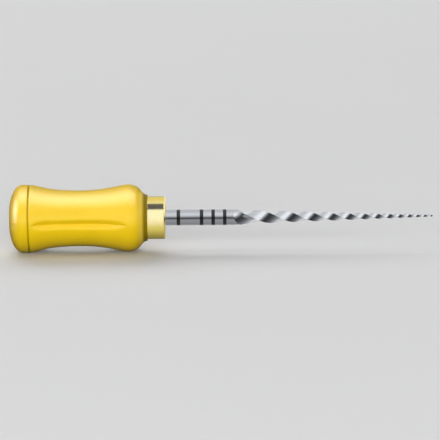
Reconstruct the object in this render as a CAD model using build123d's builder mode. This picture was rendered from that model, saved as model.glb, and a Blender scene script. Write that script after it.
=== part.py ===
from build123d import *
import os
from math import cos, exp, log, radians, sin, sqrt, tan

# Endodontic hand file, 25 mm long, with a waisted soft handle.
#
# Millimetres. +X runs along the instrument towards the tip, +Z is up, and the origin is on the axis
# at the collar's front face, where the bare shaft starts. The handle fills negative X.
#
# How it comes apart: the ground file blank is pressed into a brass drive shank. The shank is keyed
# and snapped into a hard handle core, the soft grip sleeve is held on the core's ribs, and the end
# cap closes the core's open rear end. Four depth marks are set into the shaft.

# --- driving dimensions -----------------------------------------------------------------------
working_length = 25.0  # tip to the shoulder that the collar seats on
collar_length = 1.9
tip_x = working_length - collar_length  # tip's place along the axis

shaft_r = 0.69
tang_r = 0.5  # pressed into the shank, so that the shaft's shoulder seats on the collar
tang_length = 4.0
tang_chamfer = 0.15

mark_distances = (18, 19, 20, 22)  # depth marks, counted from the tip
mark_width = 0.30
mark_depth = 0.05

flute_length = 16.0  # tip to where the flutes start to run out
runout_length = 1.2
runout_end_r = shaft_r - 0.01  # the flutes run out just under the shaft's surface
tip_diameter = 0.20
apical_length = 3.0  # stretch with the steeper taper
apical_taper = 0.07
body_taper = 0.061
dome_length = 0.12  # rounded, non-cutting end
side_ratio = 0.62  # middle of a face over the corner radius
round_ratio = 0.99  # the same where the section is nearly round
tip_pitch = 1.53  # one full turn of the flutes at the tip
pitch_growth = 0.362  # millimetres of pitch gained for each millimetre from the tip
flute_phase = 32.0  # angle of one corner at the tip
corner_count = 3
turn_per_section = 24.0

collar_r = 1.84
collar_round = 0.14
mouth_chamfer = 0.06
drive_r = 1.175  # the standard 2.35 mm latch shank
drive_length = 7.7
drive_chamfer = 0.2
latch_from_end = 1.1
latch_width = 0.6
latch_r = 0.85
flat_offset = 0.85  # drive flat's distance from the axis
flat_length = 4.2
bore_depth = 4.2

core_r = 1.6
core_flange_r = 2.3
core_flange_length = 0.35
rib_r = 1.95
rib_width = 0.5
rib_front = -3.2
fit_gap = 0.015  # running gap round the shank inside the core

handle_front = -1.58
handle_rear = -13.5
joint_x = -11.78  # where the grip sleeve ends and the end cap starts
crest_r = 2.93  # at the joint
rear_slope = -0.17  # the sleeve's outline just in front of the joint
waist_outline = ((-10.2, 2.61), (-8.6, 2.445), (-7.0, 2.41), (-5.2, 2.57), (-4.2, 2.755))
front_crest = (-3.2, 2.905)
nose_outline = ((-2.74, 2.81), (-2.27, 2.53), (-1.92, 2.13))
lip_r = 1.98
lip_slope = -0.15
collar_gap = 0.06  # shadow gap round the collar
groove_count = 3
groove_outline = ((-10.7, 2.47), (-9.3, 2.24), (-7.0, 2.13), (-5.4, 2.26), (-4.5, 2.45))  # its root
groove_rear = (-11.55, 2.93)
groove_front = (-3.3, 2.93)
groove_height = 0.9
groove_half_angle = 52.0
groove_turn = 183.0  # the first groove's angle about the axis, from +Y towards +Z
groove_root = 0.06
groove_angles = [groove_turn + 360 / groove_count * k for k in range(groove_count)]

seam_width = 0.12  # visible seam between sleeve and cap
seam_depth = 0.12
sleeve_edge_round = 0.1
cap_edge_round = 0.06
cap_round_x = 1.15
cap_flat_r = 0.8
spigot_r = 1.2
spigot_length = 1.6
spigot_chamfer = 0.15


# --- file blank -------------------------------------------------------------------------------
def corner_radius(s):
    """Radius of the flutes' corners at distance s from the tip."""
    apical = min(s, apical_length) * apical_taper
    body = max(s - apical_length, 0) * body_taper
    return (tip_diameter + apical + body) / 2


def turn(s):
    """Degrees that the flutes have turned from the tip to distance s, with a pitch that grows evenly."""
    return 360 / pitch_growth * log(1 + pitch_growth * s / tip_pitch)


def distance_at(angle):
    """Distance from the tip at which the flutes have turned by angle degrees."""
    return tip_pitch / pitch_growth * (exp(angle * pitch_growth / 360) - 1)


def section_plane(s, phase):
    """Plane across the axis at distance s from the tip, with its x direction at that angle about +X."""
    across = (0, cos(radians(phase)), sin(radians(phase)))
    return Plane(origin=(tip_x - s, 0, 0), x_dir=across, z_dir=(1, 0, 0))


def rounded_triangle(s, corner, ratio):
    """Section of three equal outward arcs at distance s from the tip, nearly round where ratio nears 1."""
    step = 360 / corner_count
    with BuildSketch(section_plane(s, flute_phase - turn(s))) as section:
        with BuildLine():
            for k in range(corner_count):
                here, there = radians(k * step), radians((k + 1) * step)
                middle = (here + there) / 2
                ThreePointArc(
                    (corner * cos(here), corner * sin(here)),
                    (corner * ratio * cos(middle), corner * ratio * sin(middle)),
                    (corner * cos(there), corner * sin(there)),
                )
        make_face()
    return section.sketch


def ease(share):
    """Smooth step from 0 to 1."""
    return share * share * (3 - 2 * share)


flute_end = flute_length + runout_length

dome_sections = []
for share in (0.04, 0.2, 0.5, 1.0):
    dome_r = corner_radius(share * dome_length) * sqrt(share * (2 - share))
    dome_ratio = round_ratio + ease(share) * (side_ratio - round_ratio)
    dome_sections.append(rounded_triangle(share * dome_length, dome_r, dome_ratio))

flute_sections = []
turned = turn(dome_length)
while distance_at(turned) < flute_length:
    along = distance_at(turned)
    flute_sections.append(rounded_triangle(along, corner_radius(along), side_ratio))
    turned += turn_per_section
for share in (0.0, 0.25, 0.5, 0.75, 1.0):
    along = flute_length + share * runout_length
    widened = corner_radius(flute_length) + ease(share) * (runout_end_r - corner_radius(flute_length))
    run_ratio = side_ratio + ease(share) * (round_ratio - side_ratio)
    flute_sections.append(rounded_triangle(along, widened, run_ratio))

with BuildPart() as flutes:
    loft(dome_sections, ruled=True)
    loft(flute_sections)

with BuildPart() as file_blank:
    with BuildSketch(Plane.XY):
        with BuildLine():
            Polyline(
                (-tang_length, 0),
                (-tang_length, tang_r - tang_chamfer),
                (-tang_length + tang_chamfer, tang_r),
                (0, tang_r),
                (0, shaft_r),
                (tip_x - flute_end, shaft_r),
                (tip_x - flute_end, 0),
                close=True,
            )
        make_face()
    revolve(axis=Axis.X)
    for distance in mark_distances:
        with BuildSketch(Plane.XY):
            with Locations((tip_x - distance, shaft_r)):
                Rectangle(mark_width, 2 * mark_depth)
        revolve(axis=Axis.X, mode=Mode.SUBTRACT)
    add(flutes.part)

file_blank.part.label = "file_blank"

# --- depth marks ------------------------------------------------------------------------------
depth_marks = {}
for distance in mark_distances:
    with BuildPart() as mark:
        with BuildSketch(Plane.XY):
            with Locations((tip_x - distance, shaft_r - mark_depth / 2)):
                Rectangle(mark_width, mark_depth)
        revolve(axis=Axis.X)
    mark.part.label = f"depth_mark_{distance}"
    depth_marks[mark.part.label] = mark.part


# --- drive shank ------------------------------------------------------------------------------
def drive_pin(gap):
    """The latch shank behind the collar, grown by gap all round, with its groove and its drive flat."""
    rear = -collar_length - drive_length
    groove = rear + latch_from_end
    with BuildPart() as pin:
        with BuildSketch(Plane.XY):
            with BuildLine():
                Polyline(
                    (-collar_length, 0),
                    (-collar_length, drive_r + gap),
                    (groove + latch_width - gap, drive_r + gap),
                    (groove + latch_width - gap, latch_r + gap),
                    (groove + gap, latch_r + gap),
                    (groove + gap, drive_r + gap),
                    (rear + drive_chamfer, drive_r + gap),
                    (rear - gap, drive_r - drive_chamfer),
                    (rear - gap, 0),
                    close=True,
                )
            make_face()
        revolve(axis=Axis.X)
        with Locations((rear + flat_length - gap, 0, flat_offset + gap)):
            Box(
                2 * flat_length,
                4 * drive_r,
                drive_r,
                align=(Align.MAX, Align.CENTER, Align.MIN),
                mode=Mode.SUBTRACT,
            )
    return pin.part


with BuildPart() as shank:
    add(drive_pin(0))
    with BuildSketch(Plane.XY):
        with BuildLine():
            Line((-collar_length, 0), (-collar_length, collar_r - mouth_chamfer))
            Line((-collar_length, collar_r - mouth_chamfer), (-collar_length + mouth_chamfer, collar_r))
            Line((-collar_length + mouth_chamfer, collar_r), (-collar_round, collar_r))
            RadiusArc((-collar_round, collar_r), (0, collar_r - collar_round), collar_round)
            Line((0, collar_r - collar_round), (0, 0))
            Line((0, 0), (-collar_length, 0))
        make_face()
    revolve(axis=Axis.X)
    with BuildSketch(Plane.XY):
        with BuildLine():
            Polyline(
                (-bore_depth, 0),
                (-bore_depth, tang_r),
                (-mouth_chamfer, tang_r),
                (0, tang_r + mouth_chamfer),
                (0, 0),
                close=True,
            )
        make_face()
    revolve(axis=Axis.X, mode=Mode.SUBTRACT)

shank.part.label = "drive_shank"

# --- handle core ------------------------------------------------------------------------------
with BuildPart() as core_outside:
    with BuildSketch(Plane.XY):
        with BuildLine():
            Polyline(
                (joint_x, 0),
                (joint_x, core_flange_r),
                (joint_x + core_flange_length, core_flange_r),
                (joint_x + core_flange_length, core_r),
                (-collar_length, core_r),
                (-collar_length, 0),
                close=True,
            )
        make_face()
    revolve(axis=Axis.X)
    rib_rear = joint_x + core_flange_length
    with Locations(*[Rotation(angle + 180 / groove_count, 0, 0) for angle in groove_angles]):
        with Locations((rib_rear, 0, 0)):
            Box(rib_front - rib_rear, rib_width, rib_r, align=(Align.MIN, Align.CENTER, Align.MIN))

with BuildPart() as handle_core:
    add(core_outside.part)
    add(drive_pin(fit_gap), mode=Mode.SUBTRACT)
    with Locations(Location((joint_x, 0, 0), (0, 90, 0))):
        Cylinder(
            spigot_r,
            spigot_length,
            align=(Align.CENTER, Align.CENTER, Align.MIN),
            mode=Mode.SUBTRACT,
        )

handle_core.part.label = "handle_core"

# --- grip sleeve ------------------------------------------------------------------------------
with BuildPart() as groove_form:
    with BuildLine(Plane.XY) as groove_path:
        Spline(groove_rear, *groove_outline, groove_front)
    half_width = groove_height * tan(radians(groove_half_angle))
    start = Plane(origin=groove_path.line @ 0, x_dir=(0, 0, -1), z_dir=groove_path.line % 0)
    with BuildSketch(start) as groove_section:
        with BuildLine():
            Polyline(
                (0, 0),
                (half_width, groove_height),
                (-half_width, groove_height),
                close=True,
            )
        make_face()
        fillet(groove_section.vertices().group_by(SortBy.DISTANCE)[0], groove_root)
    sweep(path=groove_path.line)

with BuildPart() as grip_sleeve:
    with BuildSketch(Plane.XY):
        with BuildLine():
            rear_edge = joint_x + seam_width / 2
            Line((joint_x, 0), (joint_x, crest_r - seam_depth))
            Line((joint_x, crest_r - seam_depth), (rear_edge, crest_r - seam_depth))
            edge_top = (rear_edge + sleeve_edge_round, crest_r)
            Line((rear_edge, crest_r - seam_depth), (rear_edge, crest_r - sleeve_edge_round))
            RadiusArc((rear_edge, crest_r - sleeve_edge_round), edge_top, sleeve_edge_round)
            Spline(edge_top, *waist_outline, front_crest, tangents=[(1, rear_slope), (1, 0)])
            Spline(
                front_crest,
                *nose_outline,
                (handle_front, lip_r),
                tangents=[(1, 0), (1, lip_slope)],
            )
            Line((handle_front, lip_r), (handle_front, 0))
            Line((handle_front, 0), (joint_x, 0))
        make_face()
    revolve(axis=Axis.X)
    with Locations(*[Rotation(angle, 0, 0) for angle in groove_angles]):
        add(groove_form.part, mode=Mode.SUBTRACT)
    add(core_outside.part, mode=Mode.SUBTRACT)
    with Locations(Location((-collar_length, 0, 0), (0, 90, 0))):
        Cylinder(
            collar_r + collar_gap,
            collar_length,
            align=(Align.CENTER, Align.CENTER, Align.MIN),
            mode=Mode.SUBTRACT,
        )

grip_sleeve.part.label = "grip_sleeve"

# --- end cap ----------------------------------------------------------------------------------
with BuildPart() as end_cap:
    with BuildSketch(Plane.XY):
        with BuildLine():
            front_edge = joint_x - seam_width / 2
            round_x = handle_rear + cap_round_x
            Line((joint_x, 0), (joint_x, crest_r - seam_depth))
            Line((joint_x, crest_r - seam_depth), (front_edge, crest_r - seam_depth))
            edge_top = (front_edge - cap_edge_round, crest_r)
            Line((front_edge, crest_r - seam_depth), (front_edge, crest_r - cap_edge_round))
            RadiusArc((front_edge, crest_r - cap_edge_round), edge_top, -cap_edge_round)
            Line(edge_top, (round_x, crest_r))
            EllipticalCenterArc((round_x, cap_flat_r), cap_round_x, crest_r - cap_flat_r, 90, arc_size=90)
            Line((handle_rear, cap_flat_r), (handle_rear, 0))
            Line((handle_rear, 0), (joint_x, 0))
        make_face()
    revolve(axis=Axis.X)
    with BuildSketch(Plane.XY):
        with BuildLine():
            Polyline(
                (joint_x, 0),
                (joint_x, spigot_r),
                (joint_x + spigot_length - spigot_chamfer, spigot_r),
                (joint_x + spigot_length, spigot_r - spigot_chamfer),
                (joint_x + spigot_length, 0),
                close=True,
            )
        make_face()
    revolve(axis=Axis.X)

end_cap.part.label = "end_cap"

# --- output -----------------------------------------------------------------------------------
os.makedirs("parts", exist_ok=True)
pieces = [file_blank.part, shank.part, handle_core.part, grip_sleeve.part, end_cap.part]
for piece in [*pieces, *depth_marks.values()]:
    export_step(piece, f"parts/{piece.label}.step")
    size = piece.bounding_box().size
    print(f"{piece.label}: {piece.volume:.3f} mm3, {size.X:.2f} x {size.Y:.2f} x {size.Z:.2f} mm")
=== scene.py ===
import math

import bpy
import numpy as np
from mathutils import Matrix, Vector


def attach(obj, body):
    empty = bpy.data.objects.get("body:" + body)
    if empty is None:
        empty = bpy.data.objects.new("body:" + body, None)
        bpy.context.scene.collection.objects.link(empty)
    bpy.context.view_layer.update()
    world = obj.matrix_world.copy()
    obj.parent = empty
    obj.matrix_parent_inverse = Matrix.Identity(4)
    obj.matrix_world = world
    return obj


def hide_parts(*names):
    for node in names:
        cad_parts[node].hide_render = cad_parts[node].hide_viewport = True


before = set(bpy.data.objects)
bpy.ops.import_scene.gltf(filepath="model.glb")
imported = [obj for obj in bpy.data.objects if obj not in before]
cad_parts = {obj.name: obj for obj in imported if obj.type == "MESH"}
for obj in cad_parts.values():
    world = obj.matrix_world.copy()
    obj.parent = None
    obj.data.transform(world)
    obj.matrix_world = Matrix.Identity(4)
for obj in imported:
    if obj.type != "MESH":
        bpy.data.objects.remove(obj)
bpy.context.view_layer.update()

MM = 0.001

# The CAD's driving dimensions, in millimetres: +X towards the tip, origin at the collar's front face.
TIP_X = 23.1
SHAFT_R = 0.69
TANG_R, TANG_LENGTH = 0.5, 4.0
TANG_CHAMFER, TANG_END_R = 0.15, 0.36
MARKS = (18, 19, 20, 22)
MARK_WIDTH, MARK_DEPTH = 0.30, 0.05
TIP_R, DOME_LENGTH = 0.10, 0.12
APICAL_LENGTH, APICAL_TAPER, BODY_TAPER = 3, 0.07, 0.061
TIP_PITCH, PITCH_GROWTH = 1.53, 0.362
FLUTE_PHASE = 32.0
SIDE_RATIO = 0.62
COLLAR_R, COLLAR_LENGTH, COLLAR_ROUND = 1.84, 1.9, 0.15
DRIVE_R, DRIVE_LENGTH, DRIVE_CHAMFER = 1.175, 7.7, 0.2
LATCH_FROM_END, LATCH_WIDTH, LATCH_R = 1.1, 0.6, 0.85
FLAT_OFFSET, FLAT_LENGTH = 0.85, 4.2
BORE_DEPTH, BORE_CHAMFER = 4.2, 0.06
CORE_R, FLANGE_R, FLANGE_LENGTH = 1.60, 2.30, 0.35
JOINT_X = -11.78
SEAM_HALF_WIDTH, SEAM_R = 0.06, 2.81
CREST_R = 2.93
SLEEVE_EDGE_ROUND, CAP_EDGE_ROUND = 0.1, 0.06
FRONT_CREST = (-3.2, 2.905)
LIP_X, LIP_R = -1.58, 1.98
COUNTERBORE_R = 1.90
GROOVES, GROOVE_TURN, GROOVE_HALF_ANGLE = 3, 183.0, 52
REAR_X = -13.5
CAP_ROUND_X, CAP_FLAT_R = 1.15, 0.8
SPIGOT_R, SPIGOT_LENGTH, SPIGOT_CHAMFER = 1.2, 1.6, 0.15

# Surfaces that close on the axis stop this short of it, and a fan of faces fills the rest.
POLE_R = 0.02


# --- mesh helpers -----------------------------------------------------------------------------
def piece_from(name, verts, faces, material, sharp=None):
    """A smooth-shaded mesh from points in millimetres, with edges sharp past an angle in degrees."""
    mesh = bpy.data.meshes.new(name)
    mesh.from_pydata([tuple(v) for v in np.asarray(verts) * MM], [], faces)
    mesh.validate()
    mesh.shade_smooth()
    if sharp:
        mesh.set_sharp_from_angle(angle=math.radians(sharp))
    obj = bpy.data.objects.new(name, mesh)
    bpy.context.scene.collection.objects.link(obj)
    mesh.materials.append(material)
    return obj


def seen_only_by(obj, *rays):
    """Only these kinds of ray meet the object."""
    for ray in ("camera", "diffuse", "glossy", "transmission", "volume_scatter", "shadow"):
        setattr(obj, "visible_" + ray, ray in rays)


def skin(rings, ends="fan"):
    """Quads between rings of points, each ring a loop of its own.

    The two end rings are filled with a fan each, joined to one another, or left open.
    """
    rings = np.asarray(rings, float)
    count, around = rings.shape[:2]
    verts = rings.reshape(-1, 3).tolist()
    faces = []
    for i in range(count if ends == "join" else count - 1):
        here, there = i * around, (i + 1) % count * around
        for j in range(around):
            k = (j + 1) % around
            faces.append((here + j, here + k, there + k, there + j))
    if ends == "fan":
        for ring, first in ((0, True), (count - 1, False)):
            verts.append(rings[ring].mean(0).tolist())
            pole = len(verts) - 1
            for j in range(around):
                a, b = ring * around + j, ring * around + (j + 1) % around
                faces.append((pole, b, a) if first else (pole, a, b))
    return verts, faces


def turned(outline, around, radius_at=None):
    """Rings round the X axis for an outline of (x, r) points, with radii from radius_at(x, r, angles)."""
    angles = np.linspace(0, 2 * math.pi, around, endpoint=False)
    rings = []
    for x, r in outline:
        radii = radius_at(x, r, angles) if radius_at else np.full(around, float(r))
        rings.append(np.stack([np.full(around, x), radii * np.cos(angles), radii * np.sin(angles)], 1))
    return rings


def rounded(points, steps):
    """An outline through corners (x, r, radius), each corner rounded with its own radius."""
    out = []
    for i, (x, r, radius) in enumerate(points):
        here = Vector((x, r))
        if not radius or i in (0, len(points) - 1):
            out.append((x, r))
            continue
        before = Vector(points[i - 1][:2]) - here
        after = Vector(points[i + 1][:2]) - here
        half = before.angle(after) / 2
        reach = min(radius / math.tan(half), before.length * 0.49, after.length * 0.49)
        start, end = here + before.normalized() * reach, here + after.normalized() * reach
        for s in range(steps + 1):
            t = s / steps
            p = start * (1 - t) ** 2 + here * 2 * t * (1 - t) + end * t * t
            out.append((p.x, p.y))
    return out


def split(outline, longest):
    """The same outline with its long runs divided."""
    out = [outline[0]]
    for (x0, r0), (x1, r1) in zip(outline, outline[1:]):
        parts = max(1, math.ceil(math.hypot(x1 - x0, r1 - r0) / longest))
        out += [(x0 + (x1 - x0) * i / parts, r0 + (r1 - r0) * i / parts) for i in range(1, parts + 1)]
    return out


def arc(centre, across, up, degrees):
    """Points on an ellipse, at angles from its rearmost point (0) over its top (90) to its front (180)."""
    x, r = centre
    angles = np.radians(degrees).tolist()
    return [(x - across * math.cos(a), r + up * math.sin(a)) for a in angles]


def clamped_spline(points, first_slope, last_slope):
    """The cubic spline through (x, y) points with the given end slopes, as a function of x."""
    xs, ys = np.array(points, float).T
    n = len(xs)
    a, b = np.zeros((n, n)), np.zeros(n)
    h, d = np.diff(xs), np.diff(ys) / np.diff(xs)
    a[0, 0] = a[-1, -1] = 1
    b[0], b[-1] = first_slope, last_slope
    for i in range(1, n - 1):
        a[i, i - 1], a[i, i], a[i, i + 1] = h[i], 2 * (h[i - 1] + h[i]), h[i - 1]
        b[i] = 3 * (h[i] * d[i - 1] + h[i - 1] * d[i])
    m = np.linalg.solve(a, b)

    def at(x):
        i = min(max(int(np.searchsorted(xs, x)) - 1, 0), n - 2)
        t = (x - xs[i]) / h[i]
        return float(
            ys[i] * (1 + 2 * t) * (1 - t) ** 2
            + m[i] * h[i] * t * (1 - t) ** 2
            + ys[i + 1] * t * t * (3 - 2 * t)
            + m[i + 1] * h[i] * t * t * (t - 1)
        )

    return at


# --- material helpers -------------------------------------------------------------------------
class Nodes:
    """A short way to build one procedural material."""

    def __init__(self, name):
        self.material = bpy.data.materials.new(name)
        self.material.use_nodes = True
        self.tree = self.material.node_tree
        self.shader = self.tree.nodes["Principled BSDF"]
        self.coords = self.tree.nodes.new("ShaderNodeTexCoord").outputs["Object"]

    def set(self, **values):
        """Give the shader constants or outputs of other nodes. Names have _ for each space."""
        for name, value in values.items():
            self.feed(self.shader.inputs[name.replace("_", " ")], value)

    def feed(self, socket, value):
        if isinstance(value, bpy.types.NodeSocket):
            self.tree.links.new(value, socket)
        else:
            socket.default_value = value

    def add(self, kind, inputs=None, **props):
        node = self.tree.nodes.new("ShaderNode" + kind)
        for name, value in props.items():
            setattr(node, name, value)
        for name, value in (inputs or {}).items():
            self.feed(node.inputs[name], value)
        return node

    def math(self, operation, a, b=0.0):
        return self.add("Math", {0: a, 1: b}, operation=operation).outputs[0]

    def along(self, axis):
        """Object coordinate along one axis, in metres."""
        return self.add("SeparateXYZ", {"Vector": self.coords}).outputs[axis]

    def noise(self, stretch=(1, 1, 1), size=1.0, detail=2.0, rough=0.5):
        """Noise from 0 to 1, with features of about a millimetre over size, finer where stretched."""
        scale = tuple(1000 * size * s for s in stretch)
        vector = self.add("Mapping", {"Vector": self.coords, "Scale": scale}).outputs["Vector"]
        inputs = {"Vector": vector, "Scale": 1.0, "Detail": detail, "Roughness": rough}
        return self.add("TexNoise", inputs).outputs["Fac"]

    def ramp(self, value, low, high, to_low=0.0, to_high=1.0):
        """Value moved from the range low to high to another range, and kept inside it."""
        inputs = {"Value": value, "From Min": low, "From Max": high, "To Min": to_low, "To Max": to_high}
        return self.add("MapRange", inputs).outputs["Result"]

    def mix(self, factor, a, b):
        """Colour from a to b."""
        node = self.add("Mix", {"Factor": factor}, data_type="RGBA")
        for name, value in (("A", a), ("B", b)):
            self.feed(node.inputs[name], (*value, 1) if isinstance(value, tuple) else value)
        return node.outputs["Result"]

    def mottle(self, noise, a, b, low=0.3, high=0.7):
        """Colour that wanders from a to b with the noise."""
        return self.mix(self.ramp(noise, low, high), a, b)

    def bump(self, height, strength, distance_mm, normal=None):
        inputs = {"Height": height, "Strength": strength, "Distance": distance_mm * MM}
        if normal:
            inputs["Normal"] = normal
        return self.add("Bump", inputs).outputs["Normal"]


def darker(colour, share):
    return tuple(share * c for c in colour)


# --- materials --------------------------------------------------------------------------------
YELLOW, DEEP_YELLOW = (0.93, 0.625, 0.004), (0.90, 0.598, 0.003)
# Shares of the colour left in the painted shade at the joint line and on the lip round the collar.
JOINT_SHADE, LIP_SHADE = 0.6, 0.25


def soft_yellow(name, roughness):
    """Moulded yellow silicone or plastic: a fine satin skin, slight mottling and a little light inside.

    The joint line and the lip that the collar sits in carry painted shade: darker colour, less coat and
    sheen.
    """
    n = Nodes(name)
    n.set(IOR=1.52, Subsurface_Weight=0.12, Subsurface_Scale=0.0007, Coat_Roughness=0.40)
    n.set(Subsurface_Radius=(1.0, 0.6, 0.1))
    colour = n.mottle(n.noise(size=0.55, detail=3), YELLOW, DEEP_YELLOW)
    # Painted shade in the seam gap at the joint and on the lip round the collar: darker colour, coat and
    # sheen turned down.
    off_joint = n.math("ABSOLUTE", n.math("SUBTRACT", n.along("X"), JOINT_X * MM))
    joint = n.ramp(off_joint, 0.055 * MM, 0.075 * MM, 1.0, 0.0)
    lip = n.ramp(n.along("X"), -2.08 * MM, -1.84 * MM)
    colour = n.mix(joint, colour, darker(DEEP_YELLOW, JOINT_SHADE))
    colour = n.mix(lip, colour, darker(DEEP_YELLOW, LIP_SHADE))
    painted_shade = n.math("MAXIMUM", joint, lip)
    patch = n.noise(size=2.2, detail=4)
    waves = n.bump(n.noise(size=1.3, detail=1), 0.15, 0.02)
    n.set(
        Base_Color=colour,
        Coat_Weight=n.ramp(painted_shade, 0, 1, 1.0, 0.0),
        Specular_IOR_Level=n.ramp(painted_shade, 0, 1, 0.5, 0.1),
        Roughness=n.ramp(patch, 0.3, 0.7, roughness - 0.05, roughness + 0.06),
        Normal=n.bump(n.noise(size=22), 0.22, 0.006, waves),
    )
    return n.material


def gold():
    """Polished brass with the fine rings that turning leaves."""
    n = Nodes("gold_brass")
    rings = n.noise((60, 0.3, 0.3), detail=3)
    n.set(
        Metallic=1.0,
        IOR=1.5,
        Base_Color=n.mottle(n.noise(size=1.5, detail=3), (0.95, 0.78, 0.33), (0.91, 0.74, 0.30)),
        Roughness=n.ramp(rings, 0.3, 0.7, 0.10, 0.20),
        Normal=n.bump(rings, 0.12, 0.002),
    )
    return n.material


def steel():
    """Drawn and ground stainless steel, with fine streaks along the wire."""
    n = Nodes("steel")
    streak = n.noise((0.6, 14, 14), detail=4, rough=0.6)
    n.set(
        Metallic=1.0,
        IOR=1.5,
        Base_Color=n.mottle(streak, (0.46, 0.48, 0.51), (0.53, 0.55, 0.58)),
        Roughness=n.ramp(n.noise(size=2.4, detail=3), 0.3, 0.7, 0.10, 0.17),
        Normal=n.bump(streak, 0.12, 0.002),
    )
    return n.material


def black_mark():
    """Black filler in a ground groove."""
    n = Nodes("mark_black")
    speck = n.noise(size=14, detail=3)
    n.set(
        IOR=1.5,
        Base_Color=n.mottle(speck, (0.002, 0.002, 0.003), (0.006, 0.006, 0.007), low=0.35),
        Roughness=n.ramp(speck, 0.3, 0.7, 0.16, 0.24),
        Normal=n.bump(speck, 0.2, 0.004),
    )
    return n.material


def core_plastic():
    """Hard off-white moulding inside the handle."""
    n = Nodes("core_plastic")
    cloud = n.noise(size=1.5, detail=3)
    n.set(
        Base_Color=n.mottle(cloud, (0.72, 0.71, 0.66), (0.64, 0.63, 0.58)),
        Roughness=n.ramp(cloud, 0.3, 0.7, 0.45, 0.6),
        Normal=n.bump(n.noise(size=12), 0.2, 0.005),
    )
    return n.material


def floor_pale():
    """Matt pale grey."""
    n = Nodes("floor_pale")
    n.set(
        Specular_IOR_Level=0,
        Base_Color=n.mix(n.noise(size=0.02), (0.78, 0.78, 0.78), (0.76, 0.76, 0.765)),
    )
    return n.material


def backdrop_pale():
    """A pale grey that glows evenly, so that no light shows on the backdrop."""
    n = Nodes("backdrop_pale")
    n.set(
        Specular_IOR_Level=0,
        Base_Color=(0.01, 0.01, 0.01, 1),
        Emission_Strength=1.0,
        Emission_Color=n.mix(n.noise(size=0.02), (0.70, 0.70, 0.70), (0.72, 0.72, 0.72)),
    )
    return n.material


silicone = soft_yellow("grip_silicone", 0.42)
cap_plastic = soft_yellow("cap_plastic", 0.40)
brass, steel_wire, mark_fill = gold(), steel(), black_mark()

# --- grip sleeve ------------------------------------------------------------------------------
SLEEVE_REAR = JOINT_X + SEAM_HALF_WIDTH
EDGE_X = SLEEVE_REAR + SLEEVE_EDGE_ROUND
waist = clamped_spline(
    (
        (EDGE_X, CREST_R),
        (-10.2, 2.61),
        (-8.6, 2.445),
        (-7.0, 2.41),
        (-5.2, 2.57),
        (-4.2, 2.755),
        FRONT_CREST,
    ),
    -0.17,
    0,
)
nose = clamped_spline(
    (FRONT_CREST, (-2.74, 2.81), (-2.27, 2.53), (-1.92, 2.13), (LIP_X, LIP_R)),
    0,
    -0.15,
)
groove_bottom = clamped_spline(
    (
        (-11.55, 2.93),
        (-10.7, 2.47),
        (-9.3, 2.24),
        (-7.0, 2.13),
        (-5.4, 2.26),
        (-4.5, 2.45),
        (-3.3, 2.93),
    ),
    -0.68,
    0.46,
)
GROOVE_REAR, GROOVE_FRONT = -11.5, -3.35
GROOVE_ROOT, GROOVE_LIP = 0.04, 0.06  # how soft the bottom and the lips are
INSIDE_R = 2.36  # between the flange's pocket and the waist, so the inner walls stay round


def grooved(x, r, angles):
    """The grip's radii at these angles, with its lengthwise V grooves softly rounded at bottom and lips."""
    if r < INSIDE_R or not GROOVE_REAR < x < GROOVE_FRONT:
        return np.full(len(angles), float(r))
    step = 2 * math.pi / GROOVES
    nearest = (angles - math.radians(GROOVE_TURN) + step / 2) % step - step / 2
    across = np.sqrt((np.sin(nearest) * r) ** 2 + GROOVE_ROOT**2) - GROOVE_ROOT
    depth = r - groove_bottom(x) - across / math.tan(math.radians(GROOVE_HALF_ANGLE))
    return r - (depth + np.sqrt(depth**2 + GROOVE_LIP**2)) / 2


edge_centre = (EDGE_X, CREST_R - SLEEVE_EDGE_ROUND)
sleeve_outline = [
    (SLEEVE_REAR, SEAM_R),
    (SLEEVE_REAR, CREST_R - SLEEVE_EDGE_ROUND),
    *arc(edge_centre, SLEEVE_EDGE_ROUND, SLEEVE_EDGE_ROUND, (20, 40, 60, 80)),
    *((x, waist(x)) for x in np.linspace(EDGE_X, FRONT_CREST[0], 150).tolist()),
    *((x, nose(x)) for x in np.linspace(FRONT_CREST[0], LIP_X, 50).tolist()[1:]),
    (LIP_X, COUNTERBORE_R),
    (-COLLAR_LENGTH, COUNTERBORE_R),
    (-COLLAR_LENGTH, CORE_R),
    (JOINT_X + FLANGE_LENGTH, CORE_R),
    (JOINT_X + FLANGE_LENGTH, FLANGE_R),
    (JOINT_X, FLANGE_R),
    (JOINT_X, SEAM_R),
]
verts, faces = skin(turned(sleeve_outline, 384, grooved), "join")
grip = piece_from("grip_sleeve_soft", verts, faces, silicone, 50)

# --- end cap ----------------------------------------------------------------------------------
CAP_FRONT = JOINT_X - SEAM_HALF_WIDTH
rear_corner = (REAR_X + CAP_ROUND_X, CAP_FLAT_R)
front_corner = (CAP_FRONT - CAP_EDGE_ROUND, CREST_R - CAP_EDGE_ROUND)
cap_outline = [
    (REAR_X, POLE_R),
    (REAR_X, CAP_FLAT_R / 2),
    (REAR_X, CAP_FLAT_R),
    *arc(rear_corner, CAP_ROUND_X, CREST_R - CAP_FLAT_R, np.linspace(0, 90, 28)[1:]),
    *arc(front_corner, CAP_EDGE_ROUND, CAP_EDGE_ROUND, (90, 120, 150, 180)),
    (CAP_FRONT, SEAM_R),
    (JOINT_X, SEAM_R),
    (JOINT_X, SPIGOT_R),
    (JOINT_X + SPIGOT_LENGTH - SPIGOT_CHAMFER, SPIGOT_R),
    (JOINT_X + SPIGOT_LENGTH, SPIGOT_R - SPIGOT_CHAMFER),
    (JOINT_X + SPIGOT_LENGTH, POLE_R),
]
verts, faces = skin(turned(cap_outline, 256))
cap = piece_from("end_cap_moulded", verts, faces, cap_plastic, 50)

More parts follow.
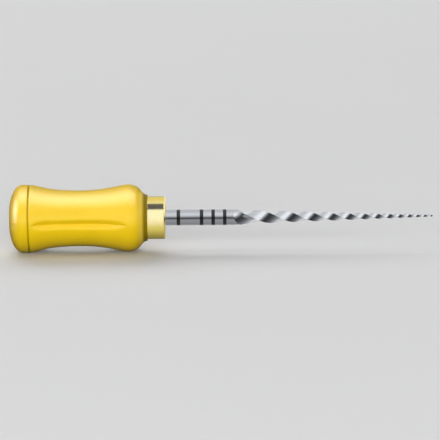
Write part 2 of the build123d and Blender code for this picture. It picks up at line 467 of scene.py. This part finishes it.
# --- drive shank ------------------------------------------------------------------------------
SHANK_REAR = -COLLAR_LENGTH - DRIVE_LENGTH
LATCH_REAR = SHANK_REAR + LATCH_FROM_END
shank_outline = rounded(
    [
        (SHANK_REAR, POLE_R, 0),
        (SHANK_REAR, DRIVE_R - DRIVE_CHAMFER, 0.03),
        (SHANK_REAR + DRIVE_CHAMFER, DRIVE_R, 0.03),
        (LATCH_REAR, DRIVE_R, 0.03),
        (LATCH_REAR, LATCH_R, 0.05),
        (LATCH_REAR + LATCH_WIDTH, LATCH_R, 0.05),
        (LATCH_REAR + LATCH_WIDTH, DRIVE_R, 0.03),
        (-COLLAR_LENGTH, DRIVE_R, 0.05),
        (-COLLAR_LENGTH, COLLAR_R, 0.06),
        (0, COLLAR_R, COLLAR_ROUND),
        (0, TANG_R + BORE_CHAMFER, 0.03),
        (-BORE_CHAMFER, TANG_R, 0),
        (-BORE_DEPTH, TANG_R, 0),
        (-BORE_DEPTH, POLE_R, 0),
    ],
    7,
)
shank_rings = np.array(turned(split(shank_outline, 0.35), 192))
heights = shank_rings[:, :, 2]
on_flat = shank_rings[:, :, 0] < SHANK_REAR + FLAT_LENGTH
shank_rings[:, :, 2] = np.where(on_flat, np.minimum(heights, FLAT_OFFSET), heights)
verts, faces = skin(shank_rings)
shank = piece_from("drive_shank_turned", verts, faces, brass, 40)

# --- file blank -------------------------------------------------------------------------------
# Distances s are in millimetres from the tip.
FLUTE_LENGTH = 16.4  # where the cone that the flutes are cut into stops growing
RUN_START, RUN_END = 15.9, 17.6  # where the flutes start and finish lifting out of the wire
RUN_R, RUN_SLOPE = 3.2, 0.02  # the lift's radius and its slope at the start
CHAMFER_START, CHAMFER_SLOPE = 16.35, 0.30  # from the cone up to the shaft
CORNERS, PER_SIDE = 3, 30
RING_STEP, STEP_GROWTH = 0.012, 0.0022  # the gap between rings at the tip, and how fast it grows


def corner_radius(s):
    apical = min(s, APICAL_LENGTH) * APICAL_TAPER
    return TIP_R + (apical + max(s - APICAL_LENGTH, 0) * BODY_TAPER) / 2


def turn(s):
    """Angle that the flutes have turned from the tip to s, with a pitch that grows evenly."""
    return 2 * math.pi / PITCH_GROWTH * math.log(1 + PITCH_GROWTH * max(s, 0) / TIP_PITCH)


def side(fractions, ratio):
    """Radius of a side of the section over its corner radius, by the share of the way between corners.

    Ratio is the middle's radius over the corner's. The side is straight where that is the cosine of half
    the turn from corner to corner, and it bulges out above it and in below.
    """
    half = math.pi / CORNERS
    bulge = ratio - math.cos(half)
    arc_r = (math.sin(half) ** 2 + bulge**2) / (2 * bulge)
    centre = ratio - arc_r
    a = (fractions - 0.5) * 2 * half
    return centre * np.cos(a) + math.copysign(1, arc_r) * np.sqrt(arc_r**2 - (centre * np.sin(a)) ** 2)


shares = (1 - np.cos(np.linspace(0, math.pi, PER_SIDE, endpoint=False))) / 2
spread = (np.repeat(np.arange(CORNERS), PER_SIDE) + np.tile(shares, CORNERS)) * 2 * math.pi / CORNERS
section = np.tile(side(shares, SIDE_RATIO), CORNERS)


def blank_ring(s, radii):
    """A ring across the axis at s. One number for radii makes it round."""
    a = math.radians(FLUTE_PHASE) + spread - turn(min(s, RUN_END))
    return np.stack([np.full(len(a), TIP_X - s), radii * np.cos(a), radii * np.sin(a)], 1)


def envelope(s):
    """The ground cone that the flutes are cut into, which meets the shaft in a short chamfer."""
    cone = corner_radius(min(s, FLUTE_LENGTH))
    return min(SHAFT_R, cone + max(s - CHAMFER_START, 0) * CHAMFER_SLOPE)


blank_rings = []
for share in (0.02, 0.08, 0.2, 0.4, 0.6, 0.8, 1.0):
    s = share * DOME_LENGTH
    dome = corner_radius(s) * math.sqrt(share * (2 - share))
    blank_rings.append(blank_ring(s, dome * (section + (1 - section) * (1 - share))))
s = DOME_LENGTH
while s < RUN_END:
    s += RING_STEP + STEP_GROWTH * s
    rise = max(s - RUN_START, 0)
    lift = rise**2 / (2 * RUN_R) + RUN_SLOPE * rise
    cut = corner_radius(min(s, FLUTE_LENGTH)) * section + lift
    blank_rings.append(blank_ring(s, np.minimum(envelope(s), cut)))


def mark_step(s):
    """The shaft's radius, lower under each depth mark."""
    inside = any(abs(s - m) < MARK_WIDTH / 2 for m in MARKS)
    return SHAFT_R - MARK_DEPTH if inside else SHAFT_R


STEP = 0.001  # length of the steep face at each side of a mark
edges = sorted([m - MARK_WIDTH / 2 for m in MARKS] + [m + MARK_WIDTH / 2 for m in MARKS])
for edge in edges:
    blank_rings += [blank_ring(s, mark_step(s)) for s in (edge - STEP, edge + STEP) if s > RUN_END]
tang_end = TIP_X + TANG_LENGTH
for s, r in (
    (TIP_X, SHAFT_R),
    (TIP_X, TANG_R),
    (tang_end - TANG_CHAMFER, TANG_R),
    (tang_end, TANG_END_R),
    (tang_end, POLE_R),
):
    blank_rings.append(blank_ring(s, r))
verts, faces = skin(blank_rings[::-1])
blank = piece_from("file_blank_ground", verts, faces, steel_wire, 28)

# --- depth marks ------------------------------------------------------------------------------
MARK_EDGE, MARK_CROWN = -0.002, 0.001  # heights off the shaft at a ring's edges and in its middle
MARK_ROUND = 0.012
marks = []
for m in MARKS:
    x0, x1 = TIP_X - m - MARK_WIDTH / 2, TIP_X - m + MARK_WIDTH / 2
    ring_outline = rounded(
        [
            (x0, SHAFT_R - MARK_DEPTH, 0),
            (x0, SHAFT_R + MARK_EDGE, MARK_ROUND),
            ((x0 + x1) / 2, SHAFT_R + MARK_CROWN, 0),
            (x1, SHAFT_R + MARK_EDGE, MARK_ROUND),
            (x1, SHAFT_R - MARK_DEPTH, 0),
        ],
        3,
    )
    verts, faces = skin(turned(ring_outline, 96), "join")
    marks.append(piece_from(f"depth_mark_{m}_ring", verts, faces, mark_fill, 60))

# --- what rides where -------------------------------------------------------------------------
for obj, node, slot in (
    (grip, "grip_sleeve", "grip_silicone"),
    (cap, "end_cap", "cap_plastic"),
    (shank, "drive_shank", "gold_brass"),
    (blank, "file_blank", "steel"),
    *((ring, f"depth_mark_{m}", "mark_black") for ring, m in zip(marks, MARKS)),
):
    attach(obj, "root")
    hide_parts(node)

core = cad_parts["handle_core"]
core.data.materials.clear()
core.data.materials.append(core_plastic())

# --- floor and backdrop -----------------------------------------------------------------------
# Neither lights the object or shows in it. The floor takes its shadow and blocks light from below.
FLOOR_Z = -CREST_R - 0.01
FLOOR_R, BEND_R, WALL_HEIGHT = 450, 350, 700
AROUND = 96


def about_vertical(r, z):
    """A ring about the vertical through the origin."""
    angles = np.linspace(0, 2 * math.pi, AROUND, endpoint=False)
    return np.stack([r * np.cos(angles), r * np.sin(angles), np.full(AROUND, z)], 1)


floor = piece_from("floor", about_vertical(FLOOR_R, FLOOR_Z), [tuple(range(AROUND))], floor_pale())
seen_only_by(floor, "camera", "shadow")
bowl = [
    about_vertical(FLOOR_R + BEND_R * math.sin(a), FLOOR_Z + BEND_R * (1 - math.cos(a)))
    for a in np.linspace(0, math.pi / 2, 24)
]
verts, faces = skin(bowl + [about_vertical(FLOOR_R + BEND_R, WALL_HEIGHT)], "open")
backdrop = piece_from("backdrop", verts, faces, backdrop_pale())
seen_only_by(backdrop, "camera")

# --- light ------------------------------------------------------------------------------------
CENTRE = Vector((4.75, 0, 0)) * MM


def softbox(name, azimuth, elevation, distance, width, height, brightness, unseen_by):
    """A rectangular light aimed at the object, which one kind of ray passes by. Its sizes are in metres.

    Azimuth 0 is the camera's side, and 90 is the tip's side.
    """
    a, e = math.radians(azimuth), math.radians(elevation)
    towards = Vector((math.sin(a) * math.cos(e), -math.cos(a) * math.cos(e), math.sin(e)))
    data = bpy.data.lights.new(name, "AREA")
    data.shape, data.size, data.size_y = "RECTANGLE", width, height
    data.energy = brightness * width * height * 4
    obj = bpy.data.objects.new(name, data)
    obj.location = CENTRE + towards * distance
    obj.rotation_mode = "QUATERNION"
    obj.rotation_quaternion = towards.to_track_quat("Z", "Y")
    obj.visible_camera = False
    setattr(obj, "visible_" + unseen_by, False)
    bpy.context.scene.collection.objects.link(obj)


# The fills light the matt colour alone, and the shines make the highlights alone.
softbox("front_fill", 3, 8, 0.50, 0.90, 0.32, 4.15, "glossy")
softbox("left_fill", -80, 8, 0.60, 0.40, 0.30, 1.5, "glossy")
softbox("top_fill", 0, 95, 0.60, 0.80, 0.40, 0.65, "glossy")
softbox("back_fill", 190, 38, 1.30, 1.30, 0.80, 3.3, "glossy")
softbox("top_shine", 0, 90, 0.60, 0.90, 0.55, 2.8, "diffuse")
softbox("left_shine", -88, 18, 0.60, 0.50, 0.50, 4.2, "diffuse")
softbox("right_shine", 60, 12, 0.60, 0.40, 0.30, 0.8, "diffuse")

CARD_R = 2.65  # in millimetres: clear of the collar, just inside the grip's front crest
CARD_POINTS = 90


def reflector(name, x0, x1, stops):
    """A glowing tube round the X axis that only reflections see, with a colour at each of its stops.

    A stop is an elevation in degrees, from the camera's side up and over, and its colour.
    """
    n = Nodes(name)
    angle = n.math("ARCTAN2", n.along("Z"), n.math("MULTIPLY", n.along("Y"), -1.0))
    low, high = stops[0][0], stops[-1][0]
    ramp = n.add("ValToRGB", {"Fac": n.ramp(angle, math.radians(low), math.radians(high))})
    elements = ramp.color_ramp.elements
    for elevation, colour in stops[1:-1]:
        elements.new((elevation - low) / (high - low)).color = (*colour, 1)
    elements[0].color, elements[-1].color = (*stops[0][1], 1), (*stops[-1][1], 1)
    glow = n.add("Emission", {"Color": ramp.outputs["Color"], "Strength": 1.0})
    n.feed(n.tree.nodes["Material Output"].inputs["Surface"], glow.outputs[0])
    angles = np.radians(np.linspace(low, high, CARD_POINTS)).tolist()
    verts = [(x, -CARD_R * math.cos(a), CARD_R * math.sin(a)) for x in (x0, x1) for a in angles]
    faces = [(i, i + 1, CARD_POINTS + i + 1, CARD_POINTS + i) for i in range(CARD_POINTS - 1)]
    card = piece_from(name, verts, faces, n.material)
    seen_only_by(card, "glossy")


def grey(*levels):
    """Alternating elevations and levels as stops of a neutral colour."""
    return [(elevation, (level, level, level)) for elevation, level in zip(levels[::2], levels[1::2])]


COLLAR_STOPS = [
    (-180, (0.90, 0.95, 0.90)),
    (-150, (0.65, 0.62, 0.34)),
    (-125, (0.25, 0.23, 0.10)),
    (-105, (0.20, 0.18, 0.08)),
    (-71, (0.33, 0.32, 0.16)),
    (-51, (0.50, 0.48, 0.24)),
    (-36, (0.68, 0.66, 0.38)),
    (-24, (0.76, 0.79, 0.50)),
    (-12, (0.92, 0.95, 1.00)),
    (-1, (1.04, 1.09, 1.35)),
    (10, (1.06, 1.20, 1.60)),
    (37, (1.06, 1.20, 1.60)),
    (43, (0.07, 0.08, 0.20)),
    (62, (0.07, 0.08, 0.20)),
    (68, (0.82, 0.88, 0.85)),
    (88, (0.82, 0.76, 0.42)),
    (125, (0.75, 0.70, 0.36)),
    (135, (0.15, 0.14, 0.14)),
    (145, (0.15, 0.14, 0.14)),
    (152, (1.00, 1.08, 1.20)),
    (180, (0.90, 0.95, 0.90)),
]
SHAFT_STOPS = grey(
    -180, 0.14, -168, 0.45, -140, 0.60, -125, 0.85, -112, 0.50, -88, 0.40, -51, 0.48, -22, 0.54,
    -9, 0.24, -3, 0.11, 5, 0.13, 14, 0.46, 26, 0.90, 38, 1.15, 54, 1.2, 85, 0.84, 132, 0.85,
    150, 1.1, 170, 0.5, 180, 0.14,
)
FLUTE_STOPS = grey(
    -180, 0.14, -150, 0.30, -138, 0.90, -125, 1.2, -100, 0.80, -75, 0.40, -50, 0.17, -15, 0.05,
    2, 0.12, 16, 0.55, 34, 1.65, 60, 1.55, 85, 1.0, 125, 0.95, 160, 1.3, 172, 0.3, 180, 0.14,
)
LIP_STOPS = grey(-180, 0.03, 180, 0.03)  # dark, to keep highlights off the grip's lip
reflector("lip_card", -2.0, -1.60, LIP_STOPS)
reflector("collar_card", -1.59, -0.05, COLLAR_STOPS)
reflector("shaft_card", -0.04, 6.9, SHAFT_STOPS)
reflector("flute_card", 6.91, 27, FLUTE_STOPS)

world = bpy.data.worlds.new("studio")
world.use_nodes = True
background = world.node_tree.nodes["Background"]
background.inputs["Color"].default_value = (0.80, 0.82, 0.86, 1)
background.inputs["Strength"].default_value = 0.06
bpy.context.scene.world = world

# --- camera -----------------------------------------------------------------------------------
ELEVATION, ROLL = 10.5, -0.45
DISTANCE, FRAME_WIDTH, SENSOR_WIDTH = 260.0, 38.06, 36
AIM = Vector((4.69, 0, -0.25)) * MM
camera_data = bpy.data.cameras.new("camera")
camera_data.sensor_width = SENSOR_WIDTH
camera_data.lens = SENSOR_WIDTH * DISTANCE / FRAME_WIDTH
camera_data.clip_start, camera_data.clip_end = 0.01, 10
camera = bpy.data.objects.new("camera", camera_data)
bpy.context.scene.collection.objects.link(camera)
e = math.radians(ELEVATION)
back = Vector((0, -math.cos(e), math.sin(e)))
camera.location = AIM + back * DISTANCE * MM
camera.rotation_mode = "QUATERNION"
roll = Matrix.Rotation(math.radians(ROLL), 4, "Z").to_quaternion()
camera.rotation_quaternion = (-back).to_track_quat("-Z", "Y") @ roll
bpy.context.scene.camera = camera
bpy.context.scene.view_settings.view_transform = "Standard"
